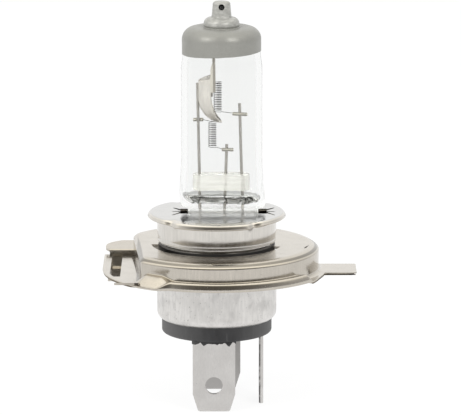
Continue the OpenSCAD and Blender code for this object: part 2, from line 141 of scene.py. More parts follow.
# holder cup: wall, foot, spigot, rolled rim and the slot in its top
CUP_LOW, CUP_HIGH = box("holder_cup")
CUP_R, CUP_FOOT, SPIGOT_R = 11.3, 5.2, 10.5
RIM_R, CUP_TOP, HEM, SHEET = CUP_HIGH.x, CUP_HIGH.z, 1.25, 0.4
SLOT_X, SLOT_HALF = 1.3, (8.15, 2.3)

# prefocus ring: plate, skirt, lip, lugs, flat, bead and window; angles in degrees from +X
RING_HIGH = box("prefocus_ring")[1]
RING_T = 0.5
PLATE_Z, PLATE_ROUND, SHOULDER, SHOULDER_TURN = RING_HIGH.z, 2.6, 0.4, 45
NECK_R, SKIRT_R, LIP_R, LUG_R, LUG_HALF = 11.02, 19.3, 21.6, RING_HIGH.x, 4.0
FLAT_ANGLE, FLAT_DIST = 184.4, 15.2
BEAD_FROM, BEAD_BACK, BEAD_FRONT = 35, 116, 117
WINDOW_FROM, WINDOW_TO, WINDOW_R = 184, 346, 12.35
STEP_Y = 12.5
LUG_TILT = math.radians(12.5)
TAB_OUT, TAB_IN = -20.4, -17.8
FRONT_LUG_ROOT, FRONT_LUG_END = -13.8, -21.3

# the index is below that of real quartz, for paler edges; the pinch is hazy
GLASS_IOR, PINCH_CLEAR = 1.22, 0.74
GLASS_STEPS = 144
CLOUDED_ROUGHNESS = 0.08

RING_COLOUR = (0.525, 0.49, 0.435)
CUP_COLOUR = (0.64, 0.615, 0.575)
# painted shade for the cup's flat top
CUP_TOP_SHADED_COLOUR = (0.545, 0.545, 0.54)


# --------------------------------------------------------------- mesh helpers
def make_object(name, points, faces, sharp=35):
    """A closed object in the scene, from points in millimetres, with its faces turned outward."""
    mesh = bpy.data.meshes.new(name)
    mesh.from_pydata([Vector(p) * MM for p in points], [], faces)
    mesh.validate()
    work = bmesh.new()
    work.from_mesh(mesh)
    bmesh.ops.recalc_face_normals(work, faces=work.faces)
    work.to_mesh(mesh)
    work.free()
    obj = bpy.data.objects.new(name, mesh)
    bpy.context.scene.collection.objects.link(obj)
    shade(obj, sharp)
    return obj


def sheet(name, points, faces):
    """An object of the faces as they are, in millimetres."""
    mesh = bpy.data.meshes.new(name)
    mesh.from_pydata([Vector(p) * MM for p in points], [], faces)
    obj = bpy.data.objects.new(name, mesh)
    bpy.context.scene.collection.objects.link(obj)
    shade(obj, 35)
    return obj


def shade(obj, sharp):
    """Smooth shading, with edges sharper than this angle in degrees left sharp."""
    obj.data.shade_smooth()
    obj.data.set_sharp_from_angle(angle=math.radians(sharp))


def bake(obj, sharp=35):
    """Applies the modifiers to the mesh."""
    graph = bpy.context.evaluated_depsgraph_get()
    mesh = bpy.data.meshes.new_from_object(obj.evaluated_get(graph), depsgraph=graph)
    obj.modifiers.clear()
    obj.data = mesh
    shade(obj, sharp)
    return obj


def grid_faces(rows, cols, closed_rows=False, closed_cols=True):
    """Quads between rows of cols points each."""
    faces = []
    for i in range(rows if closed_rows else rows - 1):
        for j in range(cols if closed_cols else cols - 1):
            a, b = i * cols, (i + 1) % rows * cols
            k = (j + 1) % cols
            faces.append([a + j, a + k, b + k, b + j])
    return faces


def skin(rings, close=False):
    """Points and faces of a surface through closed rings of equal length.

    close joins the last ring to the first; otherwise both ends get a cap.
    """
    count = len(rings[0])
    points = [p for ring in rings for p in ring]
    faces = grid_faces(len(rings), count, closed_rows=close)
    if not close:
        faces.append(list(range(count))[::-1])
        faces.append([(len(rings) - 1) * count + i for i in range(count)])
    return points, faces


def lathe(name, profile, x, segments, bend, sharp=35):
    """Turns a closed (r, z) profile round the vertical through x. bend moves (angle, r, z)."""
    rings = []
    for r, z in profile:
        ring = []
        for j in range(segments):
            a = 2 * math.pi * j / segments
            rr, zz = bend(math.degrees(a), r, z)
            ring.append((x + rr * math.cos(a), rr * math.sin(a), zz))
        rings.append(ring)
    points, faces = skin(rings, close=True)
    return make_object(name, points, faces, sharp)


def tube(name, path, radius, sides):
    """A round wire along a path. radius is a number or a function of the share of the way."""
    rings = []
    up = Vector((0, 0, 1))
    points = [Vector(p) for p in path]
    side = None
    for i, p in enumerate(points):
        ahead = points[min(i + 1, len(points) - 1)] - points[max(i - 1, 0)]
        ahead.normalize()
        if side is None:
            side = ahead.cross(up if abs(ahead.z) < 0.9 else Vector((0, 1, 0)))
        side = (side - ahead * side.dot(ahead)).normalized()
        other = ahead.cross(side)
        share = i / (len(points) - 1)
        r = radius(share) if callable(radius) else radius
        turns = [2 * math.pi * k / sides for k in range(sides)]
        rings.append([p + r * (math.cos(a) * side + math.sin(a) * other) for a in turns])
    points, faces = skin(rings)
    return make_object(name, points, faces, sharp=60)


def prism(name, outline, low, high):
    """An upright prism over an outline of (x, y) points."""
    rings = [[(x, y, z) for x, y in outline] for z in (low, high)]
    points, faces = skin(rings)
    return make_object(name, points, faces)


def cut(obj, cutters, sharp=35):
    """Takes the cutters out of obj and removes them."""
    for cutter in cutters:
        change = obj.modifiers.new("cut", "BOOLEAN")
        change.operation = "DIFFERENCE"
        change.solver = "EXACT"
        change.object = cutter
    bake(obj, sharp)
    for cutter in cutters:
        bpy.data.objects.remove(cutter)
    return obj


def thicken(obj, thickness):
    """Gives a sheet its thickness, below the surface that it has."""
    change = obj.modifiers.new("thickness", "SOLIDIFY")
    change.thickness = thickness * MM
    change.offset = -1
    change.use_even_offset = True
    return bake(obj)


def bevel(obj, width, angle=40):
    """Rounds the edges that are sharper than this angle in degrees."""
    change = obj.modifiers.new("edge", "BEVEL")
    change.width = width * MM
    change.segments = 2
    change.limit_method = "ANGLE"
    change.angle_limit = math.radians(angle)
    change.harden_normals = False
    return obj


def join(name, objects):
    """One object of several meshes."""
    work = bmesh.new()
    for obj in objects:
        work.from_mesh(obj.data)
    mesh = bpy.data.meshes.new(name)
    work.to_mesh(mesh)
    work.free()
    for obj in objects:
        bpy.data.objects.remove(obj)
    obj = bpy.data.objects.new(name, mesh)
    bpy.context.scene.collection.objects.link(obj)
    shade(obj, 35)
    return obj


def piece(obj, material, slot, *nodes):
    """Finishes a Blender piece: its material, its body and the nodes it stands for; the slot is not
    used.
    """
    obj.data.materials.clear()
    obj.data.materials.append(material)
    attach(obj, "root")
    if nodes:
        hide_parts(*nodes)
    return obj


# ----------------------------------------------------------------- materials
class Finish:
    """One node material. Coordinates are object coordinates in millimetres."""

    def __init__(self, name):
        self.material = bpy.data.materials.new(name)
        self.material.use_nodes = True
        self.tree = self.material.node_tree
        self.tree.nodes.clear()
        self.output = self.tree.nodes.new("ShaderNodeOutputMaterial")
        self.shader = self.tree.nodes.new("ShaderNodeBsdfPrincipled")
        self.tree.links.new(self.shader.outputs[0], self.output.inputs[0])
        coordinates = self.tree.nodes.new("ShaderNodeTexCoord")
        self.place = self.vector("MULTIPLY", coordinates.outputs["Object"], (1 / MM,) * 3)

    def put(self, socket, value):
        """Links an output to a socket, or sets the socket to a constant."""
        if isinstance(value, bpy.types.NodeSocket):
            self.tree.links.new(value, socket)
        else:
            socket.default_value = value

    def set(self, **values):
        """Fills the shader's inputs; an underscore in a name stands for a space."""
        for name, value in values.items():
            self.put(self.shader.inputs[name.replace("_", " ")], value)

    def vector(self, operation, a, b):
        node = self.tree.nodes.new("ShaderNodeVectorMath")
        node.operation = operation
        self.put(node.inputs[0], a)
        self.put(node.inputs[1], b)
        return node.outputs["Value" if operation == "LENGTH" else "Vector"]

    def math(self, operation, a, b=0.0):
        node = self.tree.nodes.new("ShaderNodeMath")
        node.operation = operation
        self.put(node.inputs[0], a)
        self.put(node.inputs[1], b)
        return node.outputs[0]

    def noise(self, scale, stretch=(1, 1, 1), detail=3.0, shift=(0, 0, 0)):
        """Noise with this many features in a millimetre, along each axis times stretch."""
        node = self.tree.nodes.new("ShaderNodeTexNoise")
        node.inputs["Scale"].default_value = scale
        node.inputs["Detail"].default_value = detail
        moved = self.vector("ADD", self.vector("MULTIPLY", self.place, stretch), shift)
        self.put(node.inputs["Vector"], moved)
        return node.outputs["Fac"]

    def level(self, value, low, high, to_low=0.0, to_high=1.0):
        """Maps low..high to to_low..to_high, clamped."""
        node = self.tree.nodes.new("ShaderNodeMapRange")
        self.put(node.inputs["Value"], value)
        for name, number in (("From Min", low), ("From Max", high),
                             ("To Min", to_low), ("To Max", to_high)):
            node.inputs[name].default_value = number
        return node.outputs[0]

    def mix(self, share, a, b):
        node = self.tree.nodes.new("ShaderNodeMix")
        node.data_type = "RGBA"
        self.put(node.inputs[0], share)
        for socket, colour in ((node.inputs[6], a), (node.inputs[7], b)):
            self.put(socket, (*colour, 1) if isinstance(colour, tuple) else colour)
        return node.outputs[2]

    def bump(self, height, depth):
        """A bump of this depth in millimetres."""
        node = self.tree.nodes.new("ShaderNodeBump")
        node.inputs["Strength"].default_value = 1.0
        node.inputs["Distance"].default_value = depth * MM
        self.put(node.inputs["Height"], height)
        return node.outputs[0]

    def along(self, axis):
        """One object coordinate in millimetres, by its name X, Y or Z."""
        node = self.tree.nodes.new("ShaderNodeSeparateXYZ")
        self.put(node.inputs[0], self.place)
        return node.outputs[axis]

    def tint(self, share, colour):
        """Mixes another colour over the base colour that is already set."""
        socket = self.shader.inputs["Base Color"]
        under = socket.links[0].from_socket
        self.put(socket, self.mix(share, under, colour))

    def specks(self, scale, share):
        """1 in small scattered spots."""
        spots = self.noise(scale, detail=2.0, shift=(3, 1, 2))
        return self.level(spots, 1 - share, 1 - share + 0.04)


def scaled(colour, k):
    return tuple(c * k for c in colour)


def metal(name, colour, rough, grain, grain_depth, grain_tone, cloud, speck=0.0):
    """Bare metal: drawn or rolled grain, cloudy tone and small stains.

    grain is features in a millimetre and how far each axis is stretched; grain_depth is in
    millimetres; grain_tone and cloud say how far the colour varies; speck how many stains.
    """
    f = Finish(name)
    lines = f.noise(grain[0], grain[1], detail=4.0)
    clouds = f.noise(0.35, detail=3.0, shift=(7, 3, 5))
    tone = f.level(lines, 0.3, 0.7)
    colour_now = f.mix(tone, scaled(colour, 1 - grain_tone), scaled(colour, 1 + grain_tone))
    colour_now = f.mix(f.level(clouds, 0.35, 0.7, 0, cloud * 4), colour_now, scaled(colour, 0.72))
    roughness = f.math("ADD", f.level(clouds, 0.3, 0.7, rough, rough + CLOUDED_ROUGHNESS),
                       f.level(lines, 0.3, 0.7, -0.02, 0.03))
    if speck:
        spots = f.specks(3.2, speck)
        colour_now = f.mix(f.math("MULTIPLY", spots, 0.55), colour_now, scaled(colour, 0.35))
        roughness = f.math("ADD", roughness, f.math("MULTIPLY", spots, 0.15))
    normal = f.bump(lines, grain_depth)
    f.set(Base_Color=colour_now, Roughness=roughness, Normal=normal, Metallic=1.0)
    return f


def make_ring_steel():
    """Warm plated steel outside, with painted shade on the faces inside the hollow of the ring."""
    f = metal("ring_steel", RING_COLOUR, 0.12, grain=(5.0, (1, 1, 0.06)),
              grain_depth=0.002, grain_tone=0.06, cloud=0.03, speck=0.3)
    x, y, z = f.along("X"), f.along("Y"), f.along("Z")
    radius = f.math("SQRT", f.math("ADD", f.math("MULTIPLY", x, x), f.math("MULTIPLY", y, y)))
    # painted shade: faces inside the skirt, below the plate, are darkened as if in shadow
    inside = f.math("MULTIPLY", f.level(radius, SKIRT_R - 0.25, SKIRT_R - 0.35),
                    f.level(z, PLATE_Z - 0.2, PLATE_Z - 0.3))
    inside = f.math("MULTIPLY", inside, f.level(x, -FLAT_DIST, -FLAT_DIST + 0.3))
    f.tint(inside, scaled(RING_COLOUR, 0.45))
    return f.material


def make_cup_steel():
    """Bright drawn steel; the flat top carries painted shade, cooler and darker than the wall."""
    f = metal("cup_steel", CUP_COLOUR, 0.13, grain=(4.0, (1, 1, 0.05)),
              grain_depth=0.002, grain_tone=0.06, cloud=0.03)
    # painted shade: the flat top gets a darker colour than the wall
    f.tint(f.level(f.along("Z"), CUP_TOP - 0.12, CUP_TOP - 0.04), CUP_TOP_SHADED_COLOUR)
    return f.material


def make_sleeve_metal():
    """Dull light metal, mottled, with stains, and painted shade on the neck inside the ring."""
    colour = (0.70, 0.685, 0.665)
    f = metal("sleeve_metal", colour, 0.32, grain=(2.4, (1, 1, 0.2)),
              grain_depth=0.004, grain_tone=0.08, cloud=0.07, speck=0.33)
    blotches = f.level(f.noise(0.55, (1, 1, 0.7), detail=6.0, shift=(1, 8, 3)), 0.52, 0.66, 0, 0.5)
    f.tint(blotches, scaled(colour, 0.68))
    # painted shade: near black above z 1.1, on the neck inside the ring
    f.tint(f.level(f.along("Z"), 0.7, 1.1), scaled(colour, 0.12))
    return f.material


def make_blade_metal():
    """Stamped blades; the one at the back is darkened by painted shade, and the side one has a dark
    edge.
    """
    colour = (0.62, 0.605, 0.59)
    f = metal("blade_metal", colour, 0.33, grain=(5.0, (1, 1, 0.4)),
              grain_depth=0.003, grain_tone=0.05, cloud=0.04, speck=0.29)
    x = f.along("X")
    # painted shade: darker towards the back blade
    f.tint(f.level(f.along("Y"), 1.0, 4.0, 0, 0.8), scaled(colour, 0.62))
    side = box("dipped_blade")[0].x
    worn = f.math("MULTIPLY", f.level(x, side + 0.34, side + 0.2), f.level(x, side - 0.4, side - 0.3))
    f.tint(f.math("MULTIPLY", worn, f.level(f.noise(0.7, detail=4.0), 0.3, 0.5)), scaled(colour, 0.2))
    return f.material


def make_strip_sheet():
    """The coil's strip: browner than the shield, as painted shade on its folded side, pale on its front
    and dark at its foot.
    """
    f = metal("strip_sheet", (0.40, 0.375, 0.33), 0.3, grain=(5.0, (1, 1, 0.15)),
              grain_depth=0.003, grain_tone=0.1, cloud=0.09)
    # painted light and shade: the front face is pale as lit, the folded side keeps the brown base as
    # its shade
    f.tint(f.level(f.along("X"), -0.62, -0.7), (0.68, 0.65, 0.58))
    f.tint(f.level(f.along("Z"), 34.3, 34.0, 0, 0.75), (0.14, 0.13, 0.12))
    return f.material


def make_grey_coating():
    """Fired-on satin grey layer with a fine grain, small blemishes and painted shade that makes the pit
    in the tip black.
    """
    f = Finish("grey_coating")
    grain = f.noise(9.0, detail=5.0)
    clouds = f.noise(0.5, detail=3.0, shift=(2, 9, 4))
    spots = f.specks(2.6, 0.3)
    colour = f.mix(f.level(grain, 0.3, 0.7), (0.21, 0.21, 0.194), (0.258, 0.258, 0.239))
    colour = f.mix(f.level(clouds, 0.4, 0.75, 0, 0.35), colour, (0.2, 0.2, 0.185))
    colour = f.mix(f.math("MULTIPLY", spots, 0.35), colour, (0.15, 0.15, 0.14))
    drips = f.level(f.noise(1.3, (1, 1, 2.5), detail=4.0, shift=(5, 2, 6)), 0.4, 0.65)
    tip_colour = f.mix(drips, (0.3, 0.3, 0.282), (0.42, 0.42, 0.4))
    colour = f.mix(f.level(f.along("Z"), DOME_Z + 0.35, DOME_Z + 0.7, 0, 0.8), colour, tip_colour)
    away = f.vector("SUBTRACT", f.place, tuple(PIT))
    away = f.vector("LENGTH", away, (0, 0, 0))
    # painted shade: the pit in the tip is coloured near black, as the shade in a hollow
    colour = f.mix(f.level(away, PIT_R + 0.04, PIT_R - 0.06), colour, (0.012, 0.012, 0.012))
    height = f.math("ADD", grain, f.math("MULTIPLY", clouds, 2.0))
    f.set(Base_Color=colour, Metallic=0.2, Normal=f.bump(height, 0.012),
          Roughness=f.level(clouds, 0.3, 0.7, 0.34, 0.42))
    return f.material


def make_black_insulator():
    """Matt black moulding with a fine grain, and a painted sheen that makes its sides paler."""
    f = Finish("black_insulator")
    grain = f.noise(7.0, detail=5.0)
    clouds = f.noise(0.6, (1, 1, 0.3), detail=4.0)
    scratches = f.level(f.noise(1.6, (1, 1, 0.08), detail=5.0, shift=(4, 4, 1)), 0.62, 0.7)
    colour = f.mix(f.level(clouds, 0.35, 0.7), (0.012, 0.012, 0.013), (0.028, 0.028, 0.03))
    # painted sheen: paler away from the middle, towards both sides
    painted_sheen = f.level(f.math("ABSOLUTE", f.math("SUBTRACT", f.along("X"), 1.0)), 2.0, 10.0)
    colour = f.mix(painted_sheen, colour, (0.088, 0.087, 0.088))
    colour = f.mix(f.math("MULTIPLY", scratches, 0.4), colour, (0.11, 0.11, 0.11))
    f.set(Base_Color=colour, Roughness=f.level(grain, 0.3, 0.7, 0.5, 0.68),
          Normal=f.bump(grain, 0.01))
    return f.material


def lamp_through(f):
    """Lets light from lamps through glass, so that what is inside is lit."""
    tree = f.tree
    path = tree.nodes.new("ShaderNodeLightPath")
    clear = tree.nodes.new("ShaderNodeBsdfTransparent")
    clear.inputs["Color"].default_value = (0.97, 0.98, 0.97, 1)
    mixer = tree.nodes.new("ShaderNodeMixShader")
    tree.links.new(path.outputs["Is Shadow Ray"], mixer.inputs[0])
    tree.links.new(f.shader.outputs[0], mixer.inputs[1])
    tree.links.new(clear.outputs[0], mixer.inputs[2])
    tree.links.new(mixer.outputs[0], f.output.inputs[0])


def make_quartz_glass():
    """Clear quartz with faint draw lines, greyer edge-on, and hazy where it was pinched."""
    f = Finish("quartz_glass")
    ripple = f.noise(0.35, (1, 1, 0.12), detail=2.0)
    drawn = f.noise(1.5, (1, 1, 0.03), detail=2.0)
    height = f.math("ADD", ripple, f.math("MULTIPLY", drawn, 0.15))
    weight = f.tree.nodes.new("ShaderNodeLayerWeight")
    edge = f.level(weight.outputs["Facing"], 0.75, 1.0)
    clear = f.level(f.along("Z"), 12.3, 12.8, PINCH_CLEAR, 1.0)
    f.set(Base_Color=f.mix(edge, (0.935, 0.94, 0.935), (0.84, 0.84, 0.83)), Transmission_Weight=clear,
          IOR=GLASS_IOR, Roughness=f.level(drawn, 0.3, 0.7, 0.0, 0.02), Normal=f.bump(height, 0.02))
    lamp_through(f)
    return f.material


def make_spacer_glass():
    """Fused bead, hazy right through, with streaks round the posts."""
    f = Finish("spacer_glass")
    streaks = f.noise(0.8, (0.4, 1, 2.0), detail=3.0)
    colour = f.mix(f.level(streaks, 0.3, 0.7), (0.65, 0.645, 0.62), (0.78, 0.775, 0.75))
    f.set(Base_Color=colour, Transmission_Weight=0.55, IOR=1.46,
          Roughness=f.level(streaks, 0.3, 0.7, 0.1, 0.25), Normal=f.bump(streaks, 0.05))
    lamp_through(f)
    return f.material


# metals without marks of their own: colour, roughness, grain, grain depth, grain tone, cloud
PLAIN_METALS = {
    "shield_sheet": ((0.72, 0.69, 0.64), 0.3, (5.0, (1, 1, 0.15)), 0.003, 0.07, 0.05),
    "post_metal": ((0.40, 0.385, 0.36), 0.3, (9.0, (1, 1, 0.06)), 0.003, 0.12, 0.08),
    "clamp_metal": ((0.44, 0.425, 0.38), 0.35, (7.0, (0.2, 1, 1)), 0.004, 0.14, 0.08),
    "tungsten_wire": ((0.075, 0.07, 0.065), 0.4, (12.0, (1, 1, 1)), 0.002, 0.15, 0.08),
    "foil_metal": ((0.38, 0.37, 0.36), 0.35, (8.0, (1, 1, 0.1)), 0.002, 0.1, 0.08),
    "solder": ((0.5, 0.5, 0.5), 0.4, (3.0, (1, 1, 1)), 0.02, 0.1, 0.1),
}

# the node materials by name; all but strip_sheet are named as the record's slots
MATERIALS = {
    "ring_steel": make_ring_steel(),
    "cup_steel": make_cup_steel(),
    "sleeve_metal": make_sleeve_metal(),
    "blade_metal": make_blade_metal(),
    "strip_sheet": make_strip_sheet(),
    "grey_coating": make_grey_coating(),
    "black_insulator": make_black_insulator(),
    "quartz_glass": make_quartz_glass(),
    "spacer_glass": make_spacer_glass(),
}
for plain_name, look in PLAIN_METALS.items():
    MATERIALS[plain_name] = metal(plain_name, *look).material

SLOTS = {s["node"]: s["material_slot"] for s in frame["record"]["subparts"]}


def dress_cad_nodes():
    """Every CAD node gets the node material of its slot."""
    for name, obj in NODES.items():
        for holder in obj.material_slots:
            holder.material = MATERIALS[SLOTS[name]]


# ------------------------------------------------------------------ glass tube
def squircle(a, b, power, z, x=TUBE_X):
    """A closed ring between an ellipse, power 2, and a rounded rectangle, power 6."""
    ring = []
    for i in range(GLASS_STEPS):
        t = 2 * math.pi * i / GLASS_STEPS
        c, s = math.cos(t), math.sin(t)
        ring.append((x + a * math.copysign(abs(c) ** (2 / power), c),
                     b * math.copysign(abs(s) ** (2 / power), s), z))
    return ring


def neck(radius, z):
    """The tube's radius at height z, narrowed towards the dome."""
    return radius - (TUBE_R - DOME_R) * smooth(NECK_FROM, NECK_TO, z)


def glass_outside():
    """Rings of the outside, from the foot of the pinch to the top of the exhaust tip."""
    flat, thick = PINCH_HALF
    levels = [
        (GLASS_LOW.z, flat - 0.15, thick - 0.15, 6), (GLASS_LOW.z + 0.15, flat, thick, 6),
        (8.0, flat, thick, 6), (11.6, flat, thick, 6), (11.75, flat + 0.15, thick + 0.1, 5.5),
        (11.9, flat + 0.7, 2.2, 4.8), (12.1, 7.8, 2.5, 4.2), (12.4, 8.0, 2.9, 3.6),
        (12.9, 8.06, 3.5, 3.1), (13.6, 8.08, 4.4, 2.7), (14.2, 8.08, 5.3, 2.45),
        (14.8, 8.08, 6.1, 2.25), (15.4, 8.03, 6.75, 2.12), (16.1, 7.95, 7.2, 2.05),
        (17, 7.87, 7.45, 2), (18.5, 7.76, 7.6, 2), (20, 7.68, 7.65, 2), (22, TUBE_R, TUBE_R, 2)]
    rings = [squircle(a, b, p, z, pinch_x(z)) for z, a, b, p in levels]
    dome_foot = DOME_Z - DOME_ROUND
    for z in spread(26, dome_foot, 20):
        rings.append(squircle(neck(TUBE_R, z), neck(TUBE_R, z), 2, z))
    dome = arc(DOME_R - DOME_ROUND, dome_foot, DOME_ROUND, 10, 90, 8)
    tip = [(3.0, DOME_Z), (2.2, DOME_Z + 0.9), (1.0, DOME_Z + 1.4)]
    tip += [(0.7, 48.5), (0.6, 49.4), (0.2, 49.5)]
    return rings + [squircle(r, r, 2, z) for r, z in dome + tip]


def pinch_x(z):
    """The pinch sits a little to the right under the tube."""
    return TUBE_X + PINCH_SHIFT * (1 - smooth(12, 16, z))


def glass_inside():
    """Rings of the cavity, a trough at its floor and round from above the pinch."""
    levels = [
        (13.0, 3.0, 0.15, 2.6), (13.02, 4.6, 0.28, 2.6), (13.06, 5.5, 0.45, 2.6),
        (13.2, 6.0, 0.8, 2.6), (13.5, 6.35, 1.5, 2.55), (13.9, 6.6, 2.4, 2.5),
        (14.4, 6.75, 3.4, 2.4), (14.9, 6.82, 4.4, 2.3), (15.4, 6.84, 5.2, 2.15),
        (16.0, 6.8, 5.8, 2.07), (16.8, 6.74, 6.15, 2.02), (18.2, 6.62, 6.38, 2),
        (20.5, BORE_R, BORE_R, 2)]
    rings = [squircle(a, b, p, z, pinch_x(z)) for z, a, b, p in levels]
    dome_foot = DOME_Z - DOME_ROUND
    for z in spread(25, dome_foot, 20):
        rings.append(squircle(neck(BORE_R, z), neck(BORE_R, z), 2, z))
    dome = arc(DOME_R - DOME_ROUND, dome_foot, DOME_ROUND - WALL, 12, 88, 7)
    return rings + [squircle(r, r, 2, z) for r, z in dome + [(1.0, DOME_Z - WALL)]]


def crumple(points, floor_z, height, depth, arch=0.0):
    """Waves where the hot glass was squeezed, strongest at floor_z, which can arch up."""
    moved = []
    for x, y, z in points:
        near = max(0.0, 1 - abs(z - floor_z) / height)
        slow = noise.noise(Vector((x * 0.55, y * 0.4, 3.0)))
        wave = slow + 0.7 * noise.noise(Vector((x * 1.4, y, 8.0)))
        lift = arch * max(0.0, 1 - (x / PINCH_HALF[0]) ** 2)
        moved.append((x, y + 0.5 * depth * near * wave, z + (depth * wave + lift) * near))
    return moved


def build_glass():
    """The tube with its cavity, as one mesh with an outer and an inner surface."""
    points, faces = skin(glass_outside())
    inner_points, inner_faces = skin(glass_inside())
    inner_points = crumple(inner_points, 13.1, 1.6, 0.8, 0.7)
    points = crumple(points, 12.2, 1.0, 0.15)
    count = len(points)
    inner = [[count + i for i in face][::-1] for face in inner_faces]
    obj = sheet("glass_tube", points + inner_points, faces + inner)
    shade(obj, 60)
    piece(obj, MATERIALS["quartz_glass"], "quartz_glass", "glass_envelope")


def coat_outline():
    """Outside of the coating from its lower edge to the top of the tip, as (r, z)."""
    corner = DOME_R + COAT - COAT_ROUND
    wall_top = DOME_Z + COAT - COAT_ROUND
    outline = [(DOME_R + COAT, z) for z in spread(COAT_EDGE_Z, wall_top, COAT_ROWS)]
    outline += arc(corner, wall_top, COAT_ROUND, 0, 84, 14)[1:]
    outline += [(4.6, DOME_Z + COAT + 0.03), (3.75, DOME_Z + COAT), (3.45, DOME_Z + COAT - 0.05)]
    outline += [(COLLAR_R - 0.1, DOME_Z + 0.2), (COLLAR_R, DOME_Z + 0.42)]
    outline += [(COLLAR_R - 0.02, DOME_Z + 0.6)]
    outline += arc(COLLAR_R - 1.25, DOME_Z + 0.7, 1.2, 12, 66, 6)
    outline += [(2.2, DOME_Z + 1.86), (TIP_R + 0.1, DOME_Z + 1.95), (TIP_R + 0.02, DOME_Z + 2.2)]
    outline += [(TIP_R - 0.06, DOME_Z + 3.0), (TIP_R - 0.14, DOME_Z + 3.8)]
    outline += arc(TIP_R - 0.2 - TIP_ROUND, COAT_TOP - TIP_ROUND, TIP_ROUND, 8, 88, 8)
    return outline + [(0.5, COAT_TOP), (0.05, COAT_TOP)]


def build_coating():
    """The opaque layer over dome, collar and exhaust tip, a little uneven as dipped."""
    shell = coat_outline()
    inside = [(0.05, DOME_Z + 0.4), (DOME_R - 0.8, DOME_Z - 0.6), (DOME_R - 0.02, DOME_Z - COAT_ROUND),
              (DOME_R - 0.02, COAT_EDGE_Z)]
    top_of_wall = shell[COAT_ROWS][1]

    def bend(angle, r, z):
        a = math.radians(angle)
        spot = Vector((r * math.cos(a), r * math.sin(a), z))
        if z < top_of_wall:
            edge = r * math.cos(a) * math.tan(COAT_TILT) + 0.05 * noise.noise(spot)
            z += edge * (top_of_wall - z) / (top_of_wall - COAT_EDGE_Z)
        return r + (0.03 * noise.noise(spot * 0.7) if r > TIP_R - 0.3 else 0), z

    obj = lathe("coated_top", shell + inside, TUBE_X, 192, bend, sharp=50)
    pit = tube("pit", [PIT + Vector((0, -1.5, 0.25)), PIT + Vector((0, -0.1, 0.05)),
                       PIT + Vector((0, 0.25, 0)), PIT + Vector((0, 0.4, 0))],
               lambda t: PIT_R * (1.15 if t == 0 else 0.95 if t < 0.5 else 0.75 if t < 1 else 0.3), 24)
    cut(obj, [pit], 50)
    piece(obj, MATERIALS["grey_coating"], "grey_coating", "top_coating")


# ------------------------------------------------------------------- filaments
def coil(x, top, bottom, turns):
    """A coil that runs down from its right-hand side."""
    count = turns * COIL_STEPS
    path = []
    for i in range(count + 1):
        a = 2 * math.pi * i / COIL_STEPS
        path.append((x + COIL_R * math.cos(a), COIL_R * math.sin(a), lerp(top, bottom, i / count)))
    return path


def eased(a, b, n, sag):
    """Points from a to b that hang a little in the middle, without the ends."""
    a, b = Vector(a), Vector(b)
    return [a.lerp(b, i / n) - Vector((0, 0, sag * math.sin(math.pi * i / n))) for i in range(1, n)]


def build_filaments():
    """Both coils, each one wire with its two tails."""
    dipped = coil(0.2, 35.75, 30.1, DIPPED_TURNS)
    main = coil(-0.8, 28.1, 23.3, MAIN_TURNS)
    start, end = (-0.15, -2.45, 35.85), (2.95, -0.565, 29.93)
    path = [start] + eased(start, dipped[0], 6, -0.05) + dipped + eased(dipped[-1], end, 8, 0.0) + [end]
    wire = tube("dipped_coil", path, WIRE_R, 8)
    piece(wire, MATERIALS["tungsten_wire"], "tungsten_wire", "dipped_filament")
    start, end = (-2.5, 0.565, 28.5), (0.95, -0.565, 23.1)
    path = [start] + eased(start, main[0], 8, 0.04) + main + eased(main[-1], end, 6, -0.03) + [end]
    wire = tube("main_coil", path, WIRE_R, 8)
    piece(wire, MATERIALS["tungsten_wire"], "tungsten_wire", "main_filament")


# ---------------------------------------------------------------------- shield
def build_shield():
    """Spoon of thin sheet, open to the right, that ends in a beak under the dipped coil."""
    rows, cols = 40, 48
    rings = []
    for i in range(rows + 1):
        share = (i / rows) ** 1.6
        row = []
        for j in range(cols + 1):
            a = math.radians(-90 + 180 * j / cols)
            top = SHIELD_TOP - 0.6 * math.cos(a)
            z = BEAK[1] + 0.03 + (top - BEAK[1] - 0.03) * share
            drop = max(0.0, (SHIELD_TURN - z) / (SHIELD_TURN - BEAK[1]))
            belly = math.sqrt(max(0.0, 1 - drop ** 2))
            back = BEAK[0] - (BEAK[0] - SHIELD_BACK) * belly
            rim = BEAK[0] - (BEAK[0] - SHIELD_RIM) * (1 - drop ** 2.4)
            row.append((rim - (rim - back) * math.cos(a), SHIELD_HALF * belly * math.sin(a), z))
        rings.append(row)
    obj = sheet("shield_spoon", [p for row in rings for p in row],
                grid_faces(rows + 1, cols + 1, closed_cols=False))
    thicken(obj, 0.2)
    bevel(obj, 0.05)
    piece(obj, MATERIALS["shield_sheet"], "shield_sheet", "dipped_beam_shield")


def build_coil_strip():
    """Folded strip on the shield's near rim, drawn out to a spike above and a tab below."""
    face_y, fold_y = -SHIELD_HALF - 0.22, -SHIELD_HALF + 0.35
    levels = [(33.35, -1.1, -0.72, -0.7, 0.3), (34.15, -1.1, -0.7, -0.68, 0.3),
              (34.2, -1.12, -0.55, -0.17, 0.0), (36.5, -1.14, -0.55, -0.17, 0.0),
              (38.4, -1.12, -0.55, -0.2, 0.0), (39.2, -0.95, -0.5, -0.2, 0.0),
              (39.8, -0.75, -0.45, -0.26, 0.1), (40.3, -0.8, -0.4, -0.22, 0.25),
              (41.6, -0.62, -0.5, -0.42, 0.3)]
    rows = [[(left, face_y + back, z), (bend, face_y + back - 0.03, z), (right, fold_y, z),
             (right - 0.06, fold_y + 0.12, z), (bend - 0.03, face_y + back + 0.14, z),
             (left, face_y + back + 0.15, z)]
            for z, left, bend, right, back in levels]
    obj = make_object("coil_strip", *skin(rows), sharp=25)
    piece(obj, MATERIALS["strip_sheet"], "shield_sheet", "dipped_coil_strip")


